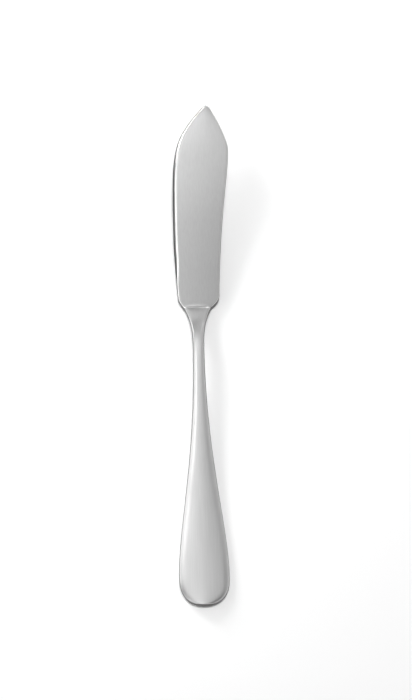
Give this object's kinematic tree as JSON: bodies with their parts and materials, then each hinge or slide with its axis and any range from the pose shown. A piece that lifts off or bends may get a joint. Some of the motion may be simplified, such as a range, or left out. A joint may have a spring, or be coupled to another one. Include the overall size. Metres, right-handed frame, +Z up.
{
  "type": "butter spreader",
  "caption": "Satin steel butter spreader: a broad pointed blade with a convex spreading edge, raised from the heel, on a slim arched handle that widens to a rounded end.",
  "frame": {"origin": "on the table, under the middle of the whole spreader", "axes": "+Z up from the table, +Y along the spreader from the handle's end to the tip, +X to the back of the blade"},
  "size_m": [0.0198, 0.173, 0.0109],
  "materials": {
    "blade_steel": "satin, fine matt grain",
    "handle_steel": "satin, fine matt grain"
  },
  "bodies": {
    "root": {"blade": "blade_steel", "handle": "handle_steel"}
  },
  "joints": []
}
